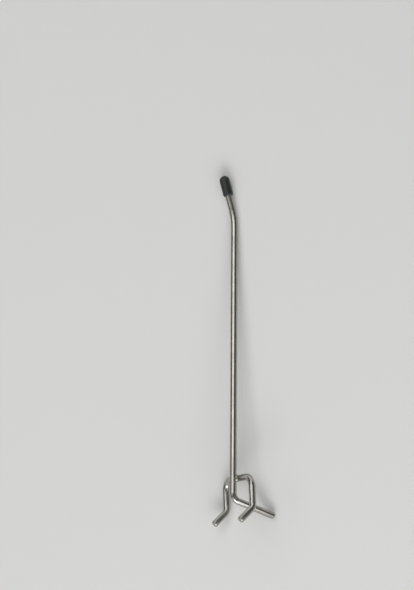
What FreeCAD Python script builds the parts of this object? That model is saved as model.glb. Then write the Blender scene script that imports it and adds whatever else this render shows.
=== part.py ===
import FreeCAD, Part
import math
import os

# A straight pegboard hook, in millimetres and degrees, as it hangs on the board.
# The board's front face is the plane Y = 0 with the board on the +Y side, and +Z is up.
# The hook is mirrored about X = 0, and the origin lies on that face midway between its two holes.

# Wire stock
wire_diameter = 3.175
end_chamfer = 0.3

# Arm, with its turned-up tip and the lower leg that bears on the board
arm_length = 152.4  # board face to the end of the tip, measured along the arm
arm_rise = 17.5  # climb of the arm from the horizontal
tip_length = 20.2  # tip bend to the end of the tip
tip_bend = 16.8
tip_bend_radius = 28.0
lower_leg_length = 22.2  # base bend to the cut end
base_bend_radius = 4.2
base_height = 3.15  # base bend above the row of holes

# Yoke that crosses under the arm and goes through the board
hole_pitch = 25.4
yoke_setback = 9.75  # base bend to the yoke, measured along the arm
yoke_dip = 3.0  # how much more steeply the legs slope than the arm
leg_length = 14.25  # cross bar to knee
leg_corner_radius = 5.2
prong_length = 9.15  # knee to the cut end
prong_bend = 49.5
knee_radius = 4.0

# Resistance weld where the two wires cross
weld_set_down = 0.4
weld_flash_diameter = 3.6

# Vinyl dip on the tip
vinyl_length = 9.6
vinyl_wall = 0.75
vinyl_end_wall = 1.5
vinyl_lip_wall = 0.25
vinyl_lip_length = 0.9

wire_radius = wire_diameter / 2


def point(x, y, z):
    return FreeCAD.Vector(x, y, z)


def outward(angle):
    # Unit vector away from the board, climbing by the angle.
    return point(0, -math.cos(math.radians(angle)), math.sin(math.radians(angle)))


def inward(angle):
    # Unit vector into the board, climbing by the angle.
    return outward(180 - angle)


def bend_arc(before, corner, after, radius):
    # Arc tangent to the two runs that meet at a corner of the route.
    back = (before - corner).normalize()
    ahead = (after - corner).normalize()
    half_angle = back.getAngle(ahead) / 2
    setback = radius / math.tan(half_angle)
    depth = radius / math.sin(half_angle) - radius
    middle = corner + (back + ahead).normalize() * depth
    return Part.Arc(corner + back * setback, middle, corner + ahead * setback).toShape()


def wire_route(corners, radii):
    # Straight runs joined by arcs, with one radius for each inner corner.
    edges = []
    start = corners[0]
    for index, radius in enumerate(radii):
        arc = bend_arc(corners[index], corners[index + 1], corners[index + 2], radius)
        edges.append(Part.makeLine(start, arc.firstVertex(True).Point))
        edges.append(arc)
        start = arc.lastVertex(True).Point
    edges.append(Part.makeLine(start, corners[-1]))
    return Part.Wire(edges)


def bent_wire(corners, radii):
    rim = Part.makeCircle(wire_radius, corners[0], corners[1] - corners[0])
    section = Part.Face(Part.Wire(rim))
    return wire_route(corners, radii).makePipe(section)


def with_broken_edge(wire, end):
    # Takes the sharp edge off a sheared end.
    rims = [edge for edge in wire.Edges if edge.isClosed() and edge.CenterOfMass.isEqual(end, 1e-4)]
    return wire.makeChamfer(end_chamfer, rims)


# Route of the arm's wire, from the cut end of the lower leg to the end inside the vinyl
arm_out = outward(arm_rise)
tip_out = outward(arm_rise + tip_bend)
base_corner = point(0, -wire_radius, base_height)
lower_end = base_corner - point(0, 0, lower_leg_length)
tip_corner = base_corner + arm_out * (arm_length - wire_radius - tip_length)
tip_end = tip_corner + tip_out * tip_length
wire_end = tip_end - tip_out * vinyl_end_wall

# Route of the yoke's wire, whose cross bar is pressed into the underside of the arm
arm_under = outward(arm_rise - 90)
crossing = base_corner + arm_out * yoke_setback
bar_middle = crossing + arm_under * (wire_diameter - weld_set_down)
knee_middle = bar_middle + inward(-arm_rise - yoke_dip) * leg_length
prong_middle = knee_middle + inward(prong_bend - arm_rise - yoke_dip) * prong_length
half_pitch = point(hole_pitch / 2, 0, 0)


def make_shaft_wire():
    corners = [lower_end, base_corner, tip_corner, wire_end]
    wire = bent_wire(corners, [base_bend_radius, tip_bend_radius])
    return with_broken_edge(wire, lower_end)


def make_prong_yoke(shaft_wire):
    right = [prong_middle + half_pitch, knee_middle + half_pitch, bar_middle + half_pitch]
    left = [bar_middle - half_pitch, knee_middle - half_pitch, prong_middle - half_pitch]
    wire = bent_wire(right + left, [knee_radius, leg_corner_radius, leg_corner_radius, knee_radius])
    wire = with_broken_edge(wire, right[0])
    wire = with_broken_edge(wire, left[-1])
    flash = Part.makeSphere(weld_flash_diameter / 2, (crossing + bar_middle) / 2)
    return wire.fuse(flash).cut(shaft_wire)


def make_vinyl_tip():
    # Outline in radius and height above the open lip, turned about the tip's axis.
    outer = wire_radius + vinyl_wall
    floor = vinyl_length - vinyl_end_wall
    dome = vinyl_length - outer
    lip = wire_radius + vinyl_lip_wall
    shoulder_width = outer - lip
    shoulder_radius = (shoulder_width**2 + vinyl_lip_length**2) / (2 * shoulder_width)
    shoulder_half = math.asin(vinyl_lip_length / shoulder_radius) / 2
    shoulder_middle = point(
        outer - shoulder_radius * (1 - math.cos(shoulder_half)),
        0,
        vinyl_lip_length - shoulder_radius * math.sin(shoulder_half),
    )
    dome_middle = point(outer * math.cos(math.pi / 4), 0, dome + outer * math.sin(math.pi / 4))
    outline = [
        Part.makeLine(point(wire_radius, 0, 0), point(lip, 0, 0)),
        Part.Arc(point(lip, 0, 0), shoulder_middle, point(outer, 0, vinyl_lip_length)).toShape(),
        Part.makeLine(point(outer, 0, vinyl_lip_length), point(outer, 0, dome)),
        Part.Arc(point(outer, 0, dome), dome_middle, point(0, 0, vinyl_length)).toShape(),
        Part.makeLine(point(0, 0, vinyl_length), point(0, 0, floor)),
        Part.makeLine(point(0, 0, floor), point(wire_radius, 0, floor)),
        Part.makeLine(point(wire_radius, 0, floor), point(wire_radius, 0, 0)),
    ]
    tip = Part.Face(Part.Wire(outline)).revolve(point(0, 0, 0), point(0, 0, 1), 360)
    turn = FreeCAD.Rotation(point(0, 0, 1), tip_out)
    tip.Placement = FreeCAD.Placement(tip_end - tip_out * vinyl_length, turn)
    return tip


def main():
    os.makedirs("parts", exist_ok=True)
    shaft_wire = make_shaft_wire()
    nodes = {
        "shaft_wire": shaft_wire,
        "prong_yoke": make_prong_yoke(shaft_wire),
        "vinyl_tip": make_vinyl_tip(),
    }
    for name, shape in nodes.items():
        shape.exportStep(f"parts/{name}.step")
        print(name, shape.ShapeType, shape.isValid(), len(shape.Solids), round(shape.Volume, 2))


main()
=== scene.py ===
import math
import bmesh
import bpy
from mathutils import Matrix, Vector


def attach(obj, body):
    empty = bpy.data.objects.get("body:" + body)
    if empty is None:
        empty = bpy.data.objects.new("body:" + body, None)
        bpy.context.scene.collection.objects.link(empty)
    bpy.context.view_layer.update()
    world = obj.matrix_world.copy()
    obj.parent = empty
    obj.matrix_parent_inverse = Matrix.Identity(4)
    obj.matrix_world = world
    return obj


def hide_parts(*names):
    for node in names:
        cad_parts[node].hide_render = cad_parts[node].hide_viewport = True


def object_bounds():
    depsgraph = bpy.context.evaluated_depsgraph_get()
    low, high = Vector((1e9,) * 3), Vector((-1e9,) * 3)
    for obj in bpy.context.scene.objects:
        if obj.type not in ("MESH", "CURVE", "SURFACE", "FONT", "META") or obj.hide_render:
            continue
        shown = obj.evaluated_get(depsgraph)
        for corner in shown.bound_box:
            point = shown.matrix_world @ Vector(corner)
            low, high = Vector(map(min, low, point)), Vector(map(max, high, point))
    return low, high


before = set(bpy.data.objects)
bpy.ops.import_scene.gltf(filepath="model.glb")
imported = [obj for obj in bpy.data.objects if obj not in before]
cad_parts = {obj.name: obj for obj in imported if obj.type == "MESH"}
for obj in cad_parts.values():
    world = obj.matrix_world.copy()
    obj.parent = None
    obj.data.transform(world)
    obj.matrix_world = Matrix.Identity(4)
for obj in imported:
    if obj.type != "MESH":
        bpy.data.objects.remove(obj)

cadBox = [list(corner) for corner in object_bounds()]
hookMiddle = (Vector(cadBox[0]) + Vector(cadBox[1])) / 2
print("frame loaded, nodes:", sorted(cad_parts))

mm = 0.001
sharpFrom = 38  # degrees, flatter edges are shaded smooth


def outward(degrees):  # away from the board, climbing
    return Vector((0, -math.cos(math.radians(degrees)), math.sin(math.radians(degrees))))


def inward(degrees):  # into the board, climbing
    return outward(180 - degrees)


def facing(way):  # turns +Z to the given way
    return way.to_track_quat("Z", "X").to_matrix().to_4x4()


def standing(place, right, up, back):  # puts the three axes along the given ways
    return Matrix.Translation(place) @ Matrix((right, up, back)).transposed().to_4x4()


def hexColour(code):  # sRGB hex to linear
    channels = [int(code[i:i + 2], 16) / 255 for i in (1, 3, 5)]
    return [c / 12.92 if c <= 0.04045 else ((c + 0.055) / 1.055) ** 2.4 for c in channels] + [1]


def addNode(tree, kind, links=None, **settings):
    node = tree.nodes.new(kind)
    for name, value in settings.items():
        setattr(node, name, value)
    for socket, value in (links or {}).items():
        if isinstance(value, bpy.types.NodeSocket):
            tree.links.new(value, node.inputs[socket])
        else:
            node.inputs[socket].default_value = value
    return node


def newMaterial(name):
    material = bpy.data.materials.new(name)
    material.use_nodes = True
    material.node_tree.nodes.clear()
    return material, material.node_tree


def meshFrom(name, bm, material):
    mesh = bpy.data.meshes.new(name)
    bm.to_mesh(mesh)
    bm.free()
    mesh.materials.append(material)
    return mesh


def addObject(name, data):
    thing = bpy.data.objects.new(name, data)
    bpy.context.scene.collection.objects.link(thing)
    return thing


# wire drawing: a ring is pushed along straight runs and swung round bends
# wireCoord keeps each point's place on the straight wire, before it was bent

def startRing(bm, centre, heading, wire):
    place = Matrix.Translation(centre) @ facing(heading)
    made = bmesh.ops.create_circle(bm, segments=wire["sides"], radius=wire["radius"], matrix=place)
    coord = bm.verts.layers.float_vector["wireCoord"]
    back = place.inverted()
    for v in made["verts"]:
        local = back @ v.co
        v[coord] = (local.x, local.y, 0)
    return bm.edges[:]  # nothing else is drawn yet


def stampLength(bm, verts, length):
    coord = bm.verts.layers.float_vector["wireCoord"]
    for v in verts:
        v[coord] = (v[coord][0], v[coord][1], length)


def ringOf(geometry):
    verts = [g for g in geometry if isinstance(g, bmesh.types.BMVert)]
    edges = [g for g in geometry if isinstance(g, bmesh.types.BMEdge) and all(v in verts for v in g.verts)]
    return edges, verts


def pushRun(bm, ring, way, start, steps=1):
    for step in range(steps):
        ring, verts = ringOf(bmesh.ops.extrude_edge_only(bm, edges=ring)["geom"])
        bmesh.ops.translate(bm, verts=verts, vec=way / steps)
        stampLength(bm, verts, start + way.length * (step + 1) / steps)
    return ring, start + way.length


def swingBend(bm, ring, centre, axis, angle, radius, start, steps):
    for step in range(steps):
        made = bmesh.ops.spin(bm, geom=ring, cent=centre, axis=axis, angle=angle / steps, steps=1)
        ring, verts = ringOf(made["geom_last"])
        stampLength(bm, verts, start + angle * radius * (step + 1) / steps)
    return ring, start + angle * radius


def drawWire(corners, radii, wire, longRun):  # longRun is the straight run that is cut into longSteps
    bm = bmesh.new()
    bm.verts.layers.float_vector.new("wireCoord")
    here = corners[0]
    firstRing = ring = startRing(bm, here, (corners[1] - here).normalized(), wire)
    length = 0.0
    for i, radius in enumerate(radii):
        corner = corners[i + 1]
        back = (corners[i] - corner).normalized()
        ahead = (corners[i + 2] - corner).normalized()
        half = back.angle(ahead) / 2
        setback = radius / math.tan(half)
        steps = wire["longSteps"] if i == longRun else 1
        ring, length = pushRun(bm, ring, corner + back * setback - here, length, steps)
        centre = corner + (back + ahead).normalized() * radius / math.sin(half)
        axis = ahead.cross(back).normalized()
        turn = math.pi - 2 * half
        ring, length = swingBend(bm, ring, centre, axis, turn, radius, length, wire["bendSteps"])
        here = corner + ahead * setback
    ring, length = pushRun(bm, ring, corners[-1] - here, length)
    bmesh.ops.contextual_create(bm, geom=firstRing)
    bmesh.ops.contextual_create(bm, geom=ring)
    bmesh.ops.recalc_face_normals(bm, faces=bm.faces)
    return bm, firstRing, ring, length


def breakEdge(bm, ring, wire):  # the cut end's sharp rim is worn round
    bmesh.ops.bevel(bm, geom=ring, offset=wire["endBreak"], offset_type="OFFSET",
                    segments=wire["breakSteps"], profile=0.5, affect="EDGES", material=-1)


def finishPiece(name, bm, material, node):
    mesh = meshFrom(name, bm, material)
    mesh.shade_smooth()
    mesh.set_sharp_from_angle(angle=math.radians(sharpFrom))
    piece = addObject(name, mesh)
    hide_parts(node)
    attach(piece, "root")
    return piece


# zinc-plated drawn steel wire: barrel plating leaves it bright but slightly hazy, with die lines along it
zincLook = {
    "bright": "#b1afa9",
    "dull": "#a4a29c",
    "roughLow": 0.17,
    "roughHigh": 0.26,
    "hazeSize": 5.0,            # mm, cloudy patches left by the plating bath
    "hazeSpan": (0.3, 0.7),     # noise values from dull to bright
    "lineSpacing": 0.45,        # mm, die lines, drawn about twice as coarse as real ones so that they show
    "lineStretch": 60,          # how much longer than wide a die line is
    "nickSize": 1.1,            # mm, knocks from tumbling in the barrel
    "nickSpan": (0.74, 0.84),   # only the noise's highest spots are knocks
    "nickRough": 0.15,
    "nickDepth": 0.5,           # beside a die line's 1
    "cutRadius": 1.3,           # mm, the sheared face of an end lies inside this, duller than the drawn side
    "cutEdge": 0.12,            # mm, over which it fades into the drawn side
    "cutRough": 0.14,
    "tearSpacing": 0.35,        # mm, shear tears across a cut face
    "tearStretch": 5,
    "bumpStrength": 0.12,
    "bumpDepth": 0.03,          # mm
}


def makeZinc(look):
    material, tree = newMaterial("zincPlatedSteel")
    place = addNode(tree, "ShaderNodeAttribute", attribute_name="wireCoord").outputs["Vector"]

    # plating haze sets the colour and the roughness
    haze = addNode(tree, "ShaderNodeTexNoise", {
        "Vector": place, "Scale": 1 / (look["hazeSize"] * mm),
        "Detail": 3.0, "Roughness": 0.55}).outputs["Fac"]
    hazeLow, hazeHigh = look["hazeSpan"]
    tone = addNode(tree, "ShaderNodeMapRange", {
        "Value": haze, "From Min": hazeLow, "From Max": hazeHigh}).outputs["Result"]
    colour = addNode(tree, "ShaderNodeMix", {
        "Factor": tone, "A": hexColour(look["dull"]), "B": hexColour(look["bright"])}, data_type="RGBA")
    rough = addNode(tree, "ShaderNodeMapRange", {
        "Value": haze, "From Min": hazeLow, "From Max": hazeHigh,
        "To Min": look["roughHigh"], "To Max": look["roughLow"]}).outputs["Result"]

    # die lines run along the wire, and knocks are scattered over it
    lineScale = 1 / (look["lineSpacing"] * mm)
    linePlace = addNode(tree, "ShaderNodeMapping", {
        "Vector": place, "Scale": (lineScale, lineScale, lineScale / look["lineStretch"])})
    lines = addNode(tree, "ShaderNodeTexNoise", {
        "Vector": linePlace.outputs["Vector"], "Scale": 1.0, "Detail": 2.0}).outputs["Fac"]
    nicks = addNode(tree, "ShaderNodeTexNoise", {
        "Vector": place, "Scale": 1 / (look["nickSize"] * mm), "Detail": 1.0}).outputs["Fac"]
    nickLow, nickHigh = look["nickSpan"]
    nickMask = addNode(tree, "ShaderNodeMapRange", {
        "Value": nicks, "From Min": nickLow, "From Max": nickHigh}).outputs["Result"]

    # cut ends are told from the drawn side by how far they lie from the wire's middle
    flat = addNode(tree, "ShaderNodeVectorMath", {0: place, 1: (1, 1, 0)}, operation="MULTIPLY")
    flatPlace = flat.outputs["Vector"]
    off = addNode(tree, "ShaderNodeVectorMath", {0: flatPlace}, operation="LENGTH").outputs["Value"]
    cut = addNode(tree, "ShaderNodeMapRange", {
        "Value": off, "From Min": look["cutRadius"] * mm,
        "From Max": (look["cutRadius"] - look["cutEdge"]) * mm}).outputs["Result"]
    tearScale = 1 / (look["tearSpacing"] * mm)
    tearPlace = addNode(tree, "ShaderNodeMapping", {
        "Vector": flatPlace, "Scale": (tearScale, tearScale / look["tearStretch"], 0)})
    tears = addNode(tree, "ShaderNodeTexNoise", {
        "Vector": tearPlace.outputs["Vector"], "Scale": 1.0, "Detail": 2.0}).outputs["Fac"]

    roughNicked = addNode(tree, "ShaderNodeMath", {
        0: nickMask, 1: look["nickRough"], 2: rough}, operation="MULTIPLY_ADD")
    roughCut = addNode(tree, "ShaderNodeMath", {
        0: cut, 1: look["cutRough"], 2: roughNicked.outputs[0]}, operation="MULTIPLY_ADD")
    relief = addNode(tree, "ShaderNodeMath", {
        0: nickMask, 1: -look["nickDepth"], 2: lines}, operation="MULTIPLY_ADD")
    height = addNode(tree, "ShaderNodeMix", {
        "Factor": cut, "A": relief.outputs[0], "B": tears}, data_type="FLOAT")
    bump = addNode(tree, "ShaderNodeBump", {
        "Height": height.outputs["Result"], "Strength": look["bumpStrength"],
        "Distance": look["bumpDepth"] * mm})
    shader = addNode(tree, "ShaderNodeBsdfPrincipled", {
        "Base Color": colour.outputs["Result"], "Metallic": 1.0, "Roughness": roughCut.outputs[0],
        "Normal": bump.outputs["Normal"]})
    addNode(tree, "ShaderNodeOutputMaterial", {"Surface": shader.outputs["BSDF"]})
    return material


zincPlate = makeZinc(zincLook)

# arm wire: lower leg, base bend, long arm, turned-up tip
armWire = {
    "radius": 1.5875 * mm, "sides": 40, "bendSteps": 14, "longSteps": 30,
    "endBreak": 0.45 * mm, "breakSteps": 3,
    "rise": 17.5, "tipBend": 16.8, "length": 152.4 * mm, "tipLength": 20.2 * mm, "tipRadius": 28 * mm,
    "lowerLeg": 22.2 * mm, "baseRadius": 4.2 * mm, "baseHeight": 3.15 * mm,
}
vinyl = {
    "length": 9.6 * mm, "wall": 0.75 * mm, "endWall": 1.5 * mm,
    "lipWall": 0.25 * mm, "lipLength": 0.9 * mm, "lipSteps": 8,
    "sides": 56, "rings": 28,
}

armOut = outward(armWire["rise"])
tipOut = outward(armWire["rise"] + armWire["tipBend"])
baseCorner = Vector((0, -armWire["radius"], armWire["baseHeight"]))
lowerEnd = baseCorner - Vector((0, 0, armWire["lowerLeg"]))
tipCorner = baseCorner + armOut * (armWire["length"] - armWire["radius"] - armWire["tipLength"])
tipEnd = tipCorner + tipOut * armWire["tipLength"]
wireEnd = tipEnd - tipOut * vinyl["endWall"]

armCorners = [lowerEnd, baseCorner, tipCorner, wireEnd]
armRadii = [armWire["baseRadius"], armWire["tipRadius"]]
bm, cutRing, hiddenRing, armRun = drawWire(armCorners, armRadii, armWire, longRun=1)
breakEdge(bm, cutRing, armWire)
armPiece = finishPiece("armWire", bm, zincPlate, "shaft_wire")
print("arm wire drawn, mm:", round(armRun / mm, 1))

# yoke wire: prong, knee, leg, cross bar under the arm, and the same back again
yokeWire = {
    "radius": 1.5875 * mm, "sides": 40, "bendSteps": 12, "longSteps": 120,
    "endBreak": 0.45 * mm, "breakSteps": 3,
    "pitch": 25.4 * mm, "setback": 9.75 * mm, "dip": 3.0, "leg": 14.25 * mm, "legRadius": 5.2 * mm,
    "prong": 9.15 * mm, "prongBend": 49.5, "kneeRadius": 4.0 * mm,
    "setDown": 0.4 * mm, "flash": 1.8 * mm,
}
armUnder = outward(armWire["rise"] - 90)
crossing = baseCorner + armOut * yokeWire["setback"]
barMiddle = crossing + armUnder * (2 * yokeWire["radius"] - yokeWire["setDown"])
legSlope = armWire["rise"] + yokeWire["dip"]
kneeMiddle = barMiddle + inward(-legSlope) * yokeWire["leg"]
prongMiddle = kneeMiddle + inward(yokeWire["prongBend"] - legSlope) * yokeWire["prong"]
aside = Vector((yokeWire["pitch"] / 2, 0, 0))
yokeCorners = [prongMiddle + aside, kneeMiddle + aside, barMiddle + aside,
               barMiddle - aside, kneeMiddle - aside, prongMiddle - aside]
yokeRadii = [yokeWire["kneeRadius"], yokeWire["legRadius"], yokeWire["legRadius"], yokeWire["kneeRadius"]]
bm, rightEnd, leftEnd, yokeRun = drawWire(yokeCorners, yokeRadii, yokeWire, longRun=2)
breakEdge(bm, rightEnd, yokeWire)
breakEdge(bm, leftEnd, yokeWire)


def pressSeat(bm):  # weld flash swells the bar, then the arm's round seat is pressed down into both
    flashMiddle = (crossing + barMiddle) / 2
    for v in bm.verts:
        offset = v.co - flashMiddle
        if offset.length < yokeWire["flash"]:
            v.co = flashMiddle + offset.normalized() * yokeWire["flash"]
        depth = (v.co - crossing).dot(armUnder)
        if abs(v.co.x) < armWire["radius"]:
            seat = math.sqrt(armWire["radius"] ** 2 - v.co.x ** 2)
            if depth < seat and (v.co - barMiddle).length < 2 * yokeWire["radius"]:
                v.co += armUnder * (seat - depth)


pressSeat(bm)
yokePiece = finishPiece("yokeWire", bm, zincPlate, "prong_yoke")
print("yoke wire drawn, mm:", round(yokeRun / mm, 1))

# dipped PVC plastisol: satin black, soft-edged, with a faint orange peel
vinylLook = {
    "black": "#17191a",
    "worn": "#232627",
    "roughLow": 0.34,
    "roughHigh": 0.52,
    "ior": 1.53,
    "smearSize": 3.5,           # mm, patches rubbed by what hangs on the hook
    "smearSpan": (0.35, 0.7),   # noise values from black to worn
    "peelSize": 0.9,            # mm
    "peelStrength": 0.3,
    "peelDepth": 0.12,          # mm
}


def makeVinyl(look):
    material, tree = newMaterial("blackVinylDip")
    place = addNode(tree, "ShaderNodeTexCoord").outputs["Object"]
    peel = addNode(tree, "ShaderNodeTexNoise", {
        "Vector": place, "Scale": 1 / (look["peelSize"] * mm), "Detail": 1.5}).outputs["Fac"]
    smear = addNode(tree, "ShaderNodeTexNoise", {
        "Vector": place, "Scale": 1 / (look["smearSize"] * mm), "Detail": 4.0}).outputs["Fac"]
    smearLow, smearHigh = look["smearSpan"]
    amount = addNode(tree, "ShaderNodeMapRange", {
        "Value": smear, "From Min": smearLow, "From Max": smearHigh}).outputs["Result"]
    colour = addNode(tree, "ShaderNodeMix", {
        "Factor": amount, "A": hexColour(look["black"]), "B": hexColour(look["worn"])}, data_type="RGBA")
    rough = addNode(tree, "ShaderNodeMapRange", {
        "Value": smear, "From Min": smearLow, "From Max": smearHigh,
        "To Min": look["roughLow"], "To Max": look["roughHigh"]})
    bump = addNode(tree, "ShaderNodeBump", {
        "Height": peel, "Strength": look["peelStrength"], "Distance": look["peelDepth"] * mm})
    shader = addNode(tree, "ShaderNodeBsdfPrincipled", {
        "Base Color": colour.outputs["Result"], "IOR": look["ior"], "Roughness": rough.outputs["Result"],
        "Normal": bump.outputs["Normal"]})
    addNode(tree, "ShaderNodeOutputMaterial", {"Surface": shader.outputs["BSDF"]})
    return material


def dipTip():
    outer = armWire["radius"] + vinyl["wall"]
    onPlane = 1e-7  # m, so the sphere's own ring at the cut stays whole
    bm = bmesh.new()
    bmesh.ops.create_uvsphere(bm, u_segments=vinyl["sides"], v_segments=vinyl["rings"], radius=outer)
    bmesh.ops.bisect_plane(bm, geom=bm.verts[:] + bm.edges[:] + bm.faces[:], dist=onPlane,
                           plane_co=(0, 0, 0), plane_no=(0, 0, 1), clear_inner=True)
    ring = [e for e in bm.edges if e.is_boundary]

    def pull(ring, drop, radius):  # pulls the open rim down to a new radius
        ring, verts = ringOf(bmesh.ops.extrude_edge_only(bm, edges=ring)["geom"])
        now = math.hypot(verts[0].co.x, verts[0].co.y)
        bmesh.ops.translate(bm, verts=verts, vec=(0, 0, -drop))
        bmesh.ops.scale(bm, verts=verts, vec=(radius / now, radius / now, 1))
        return ring

    # side, rounded lip, then back up the wire to the closed end
    ring = pull(ring, vinyl["length"] - outer - vinyl["lipLength"], outer)
    width = vinyl["wall"] - vinyl["lipWall"]
    shoulder = (width ** 2 + vinyl["lipLength"] ** 2) / (2 * width)
    sweep = math.asin(vinyl["lipLength"] / shoulder)
    fall = 0.0
    for step in range(1, vinyl["lipSteps"] + 1):
        angle = sweep * step / vinyl["lipSteps"]
        ring = pull(ring, shoulder * math.sin(angle) - fall, outer - shoulder * (1 - math.cos(angle)))
        fall = shoulder * math.sin(angle)
    ring = pull(ring, 0, armWire["radius"])
    ring = pull(ring, -(vinyl["length"] - vinyl["endWall"]), armWire["radius"])
    bmesh.ops.contextual_create(bm, geom=ring)
    bmesh.ops.recalc_face_normals(bm, faces=bm.faces)
    place = Matrix.Translation(tipEnd - tipOut * outer) @ facing(tipOut)
    bmesh.ops.transform(bm, matrix=place, verts=bm.verts)
    return bm


tipPiece = finishPiece("vinylTip", dipTip(), makeVinyl(vinylLook), "vinyl_tip")
print("vinyl tip dipped")

# pale floor that the hook lies on, touching the lower leg's end, a yoke corner and the tip's bend
# it shows from above only, so the other side of the hook can be seen too
floorLook = {
    "colour": "#d8d8d6", "radius": 2.5, "sides": 64, "gap": 0.02 * mm,
    "up": Vector((-0.7737, 0.2787, 0.5690)).normalized(),
}


def makeFloor(look):
    material, tree = newMaterial("paleFloor")
    side = addNode(tree, "ShaderNodeNewGeometry").outputs["Backfacing"]
    matt = addNode(tree, "ShaderNodeBsdfDiffuse", {"Color": hexColour(look["colour"])})
    clear = addNode(tree, "ShaderNodeBsdfTransparent")
    both = addNode(tree, "ShaderNodeMixShader", {0: side, 1: matt.outputs[0], 2: clear.outputs[0]})
    addNode(tree, "ShaderNodeOutputMaterial", {"Surface": both.outputs[0]})
    up = look["up"]
    lowest = min(up.dot(v.co) for piece in (armPiece, yokePiece, tipPiece) for v in piece.data.vertices)
    foot = hookMiddle + up * (lowest - up.dot(hookMiddle) - look["gap"])
    bm = bmesh.new()
    bmesh.ops.create_circle(bm, cap_ends=True, segments=look["sides"], radius=look["radius"],
                            matrix=Matrix.Translation(foot) @ facing(up))
    addObject("paleFloor", meshFrom("paleFloor", bm, material))


makeFloor(floorLook)
print("floor laid")

# camera: above and to the left of the hook, rolled so that the arm runs up the picture
camLook = {
    "azimuth": -108.08, "elevation": 22.56, "roll": -66.33,
    "target": Vector((6.482, -88.604, 41.786)) * mm, "distance": 1.5,
    "lens": 198.15, "sensor": 36,
}


def cameraAxes(look):
    az, el, roll = (math.radians(look[k]) for k in ("azimuth", "elevation", "roll"))
    back = Vector((math.sin(az) * math.cos(el), -math.cos(az) * math.cos(el), math.sin(el)))
    level = Vector((0, 0, 1)).cross(back).normalized()
    upright = back.cross(level)
    right = level * math.cos(roll) + upright * math.sin(roll)
    return right, back.cross(right), back


right, up, back = cameraAxes(camLook)
camData = bpy.data.cameras.new("camera")
camData.lens = camLook["lens"]
camData.sensor_width = camLook["sensor"]
camera = addObject("camera", camData)
camera.matrix_world = standing(camLook["target"] + back * camLook["distance"], right, up, back)
bpy.context.scene.camera = camera
print("camera placed")

# light: soft boxes placed by where they lie in the picture, seen from the hook, with sizes in metres
# the key draws the bright line along the arm, the head and left boxes draw it for views from other sides,
# the foot box lights the floor and the lower leg from behind the board, and the side box fills the lower leg
boxes = {
    "keyBox": {"toRight": -0.38, "toTop": 0.30, "distance": 1.2, "size": (1.4, 0.46), "power": 3.5},
    "headBox": {"toRight": -0.30, "toTop": 0.66, "distance": 1.2, "size": (0.55, 0.36), "power": 1.5},
    "leftBox": {"toRight": -0.72, "toTop": -0.09, "distance": 1.2, "size": (0.3, 0.55), "power": 0.9},
    "footBox": {"toRight": -0.05, "toTop": -0.80, "distance": 1.6, "size": (1.2, 0.6), "power": 13.2},
    "sideBox": {"toRight": 0.60, "toTop": -0.36, "distance": 0.9, "size": (0.3, 0.7), "power": 1.1},
}


def hangBox(name, look):
    toBack = math.sqrt(1 - look["toRight"] ** 2 - look["toTop"] ** 2)
    way = right * look["toRight"] + up * look["toTop"] + back * toBack
    level = (right - way * right.dot(way)).normalized()
    lamp = bpy.data.lights.new(name, "AREA")
    lamp.shape = "RECTANGLE"
    lamp.size, lamp.size_y = look["size"]
    lamp.energy = look["power"]
    box = addObject(name, lamp)
    box.matrix_world = standing(hookMiddle + way * look["distance"], level, way.cross(level), way)
    box.visible_camera = False


for name, look in boxes.items():
    hangBox(name, look)

# the studio is pale beyond both ends of the arm and dim round its sides, so the wire keeps darker bands
studio = {"ends": "#f2f2f0", "belt": "#5c5c5e", "tipSide": (0.66, 0.84), "baseSide": (-0.42, -0.66)}


def makeStudio(look):
    world = bpy.data.worlds.new("studio")
    world.use_nodes = True
    tree = world.node_tree
    tree.nodes.clear()
    way = addNode(tree, "ShaderNodeTexCoord").outputs["Generated"]
    endness = addNode(tree, "ShaderNodeVectorMath", {0: way, 1: armOut}, operation="DOT_PRODUCT")
    shares = []
    for dim, pale in (look["tipSide"], look["baseSide"]):
        shares.append(addNode(tree, "ShaderNodeMapRange", {
            "Value": endness.outputs["Value"], "From Min": dim, "From Max": pale},
            interpolation_type="SMOOTHSTEP").outputs["Result"])
    share = addNode(tree, "ShaderNodeMath", {0: shares[0], 1: shares[1]}, operation="MAXIMUM")
    wall = addNode(tree, "ShaderNodeMix", {
        "Factor": share.outputs[0], "A": hexColour(look["belt"]), "B": hexColour(look["ends"])},
        data_type="RGBA")
    ground = addNode(tree, "ShaderNodeBackground", {"Color": wall.outputs["Result"], "Strength": 1.0})
    addNode(tree, "ShaderNodeOutputWorld", {"Surface": ground.outputs[0]})
    return world


bpy.context.scene.world = makeStudio(studio)
bpy.context.scene.view_settings.view_transform = "Standard"
print("light set")
